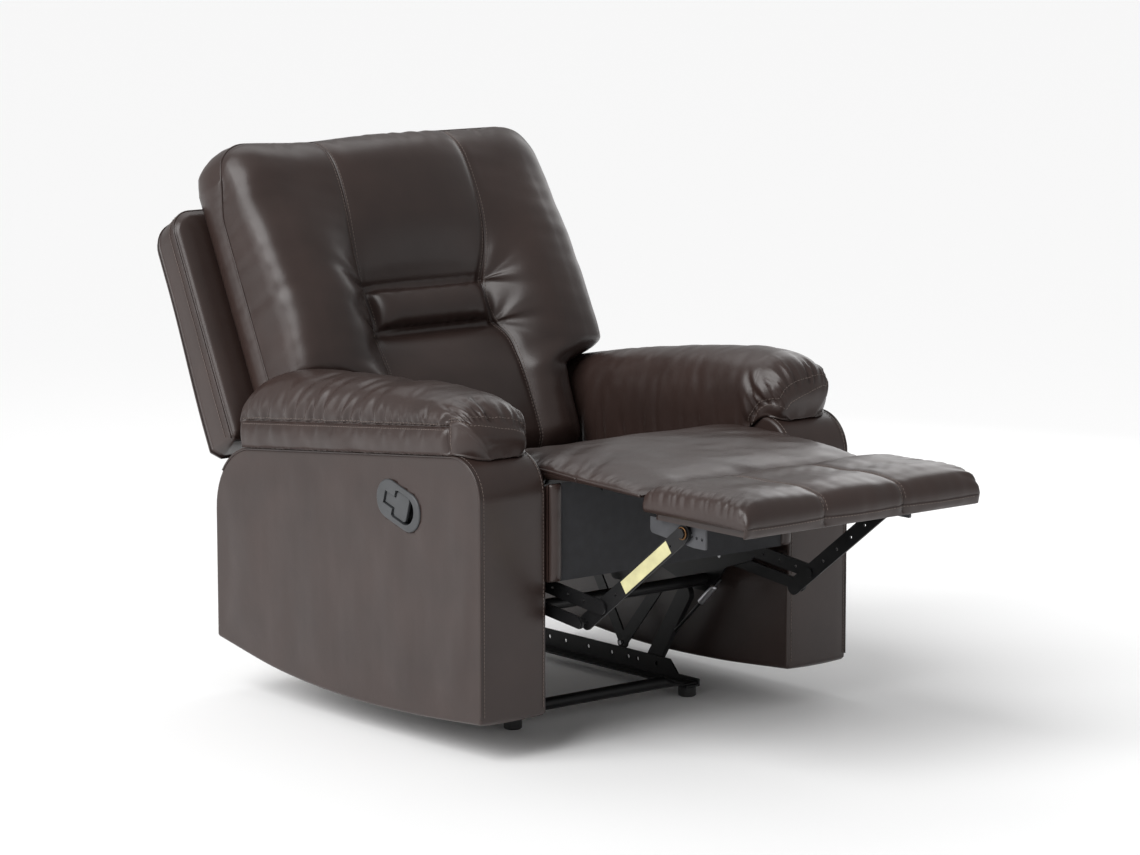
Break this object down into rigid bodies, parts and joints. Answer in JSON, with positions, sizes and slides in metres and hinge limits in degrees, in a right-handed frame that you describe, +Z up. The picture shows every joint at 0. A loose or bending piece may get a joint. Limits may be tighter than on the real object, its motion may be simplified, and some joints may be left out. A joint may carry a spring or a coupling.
{
  "type": "recliner armchair",
  "caption": "Padded recliner armchair: reclining back, fold-out footrest on steel links, pillow-topped arm boxes, a release lever and a low metal base.",
  "frame": {"origin": "on the floor under the middle of the bounding box at rest, with the footrest out and the back upright", "axes": "+Z up, the sitter faces -Y, +X is the sitter's left"},
  "size_m": [0.884, 1.5235, 1.0304],
  "materials": {
    "brown_leather": "satin",
    "board": "matte",
    "black_fabric": "matte",
    "black_steel": "satin",
    "grey_steel": "satin",
    "bright_steel": "satin",
    "black_plastic": "matte",
    "lever_plastic": "satin",
    "label_film": "satin"
  },
  "bodies": {
    "base": {"arm_cover_left": "brown_leather", "arm_cover_right": "brown_leather", "arm_frame_left": "board", "arm_frame_right": "board", "arm_pad_left": "brown_leather", "arm_pad_right": "brown_leather", "lever_cup": "lever_plastic", "seat_cushion": "brown_leather", "seat_rail_left": "board", "seat_rail_right": "board", "seat_rear_rail": "board", "seat_springs": "bright_steel", "front_board": "board", "front_fabric": "black_fabric", "front_trim_left": "brown_leather", "front_trim_right": "brown_leather", "zip_pull": "black_plastic", "base_rail_left": "black_steel", "base_rail_right": "black_steel", "base_feet": "black_plastic", "base_cross_tube_front": "black_steel", "base_cross_tube_rear": "black_steel", "base_upright_left": "black_steel", "base_upright_right": "black_steel", "base_link_front_left": "black_steel", "base_link_front_right": "black_steel", "base_link_rear_left": "black_steel", "base_link_rear_right": "black_steel", "torque_tube": "black_steel", "side_plate_left": "black_steel", "side_plate_right": "black_steel", "plate_pins": "bright_steel", "assist_spring_left": "bright_steel", "assist_spring_right": "bright_steel"},
    "lower_links": {"lower_link_left": "black_steel", "lower_link_right": "black_steel", "knee_pins": "bright_steel"},
    "upper_links": {"upper_link_left": "black_steel", "upper_link_right": "black_steel", "tail_pins": "bright_steel", "blank_label": "label_film"},
    "control_links": {"control_link_left": "black_steel", "control_link_right": "black_steel"},
    "footrest": {"footrest_pad": "brown_leather", "footrest_board": "board", "footrest_bracket_left": "grey_steel", "footrest_bracket_right": "grey_steel", "footrest_bolts": "grey_steel"},
    "chaise_rear": {"chaise_pad_rear": "brown_leather"},
    "chaise_front": {"chaise_pad_front": "brown_leather"},
    "backrest": {"back_shell": "brown_leather", "back_frame": "board", "back_underside": "black_fabric", "back_lower_panel": "black_fabric", "back_bottom_rail": "board", "back_bracket_left": "black_steel", "back_bracket_right": "black_steel", "back_cushion": "brown_leather"},
    "release_lever": {"lever_handle": "lever_plastic"}
  },
  "joints": [
    {"name": "footrest_fold", "type": "hinge", "parent": "base", "child": "lower_links", "pos_m": [0, -0.141, 0.303], "axis": [1, 0, 0], "range_deg": [0, 101]},
    {"name": "footrest_knee", "type": "hinge", "parent": "lower_links", "child": "upper_links", "pos_m": [0, -0.36, 0.278], "axis": [1, 0, 0], "range_deg": [-101, 0]},
    {"name": "footrest_tilt", "type": "hinge", "parent": "upper_links", "child": "footrest", "pos_m": [0, -0.577, 0.441], "axis": [1, 0, 0], "range_deg": [0, 90.1]},
    {"name": "control_swing", "type": "hinge", "parent": "base", "child": "control_links", "pos_m": [0, -0.09702, 0.26997], "axis": [1, 0, 0], "range_deg": [0, 101]},
    {"name": "chaise_hinge", "type": "hinge", "parent": "base", "child": "chaise_rear", "pos_m": [0, -0.263, 0.492], "axis": [1, 0, 0], "range_deg": [0, 18]},
    {"name": "chaise_fold", "type": "hinge", "parent": "chaise_rear", "child": "chaise_front", "pos_m": [0, -0.3785, 0.492], "axis": [1, 0, 0], "range_deg": [0, 82.6]},
    {"name": "recline", "type": "hinge", "parent": "base", "child": "backrest", "pos_m": [0, 0.43, 0.352], "axis": [-1, 0, 0], "range_deg": [0, 38]},
    {"name": "lever_pull", "type": "hinge", "parent": "base", "child": "release_lever", "pos_m": [-0.437, 0.01143, 0.44553], "axis": [0, 0.2924, -0.9563], "range_deg": [0, 35], "stiffness_Nm_per_rad": 0.4}
  ],
  "couplings": [
    {"joint": "footrest_knee", "follows": "footrest_fold", "ratio": -1},
    {"joint": "footrest_tilt", "follows": "footrest_fold", "ratio": 0.8911},
    {"joint": "control_swing", "follows": "footrest_fold", "ratio": 1},
    {"joint": "chaise_hinge", "follows": "footrest_fold", "ratio": 0.1772},
    {"joint": "chaise_fold", "follows": "footrest_fold", "ratio": 0.8168}
  ]
}
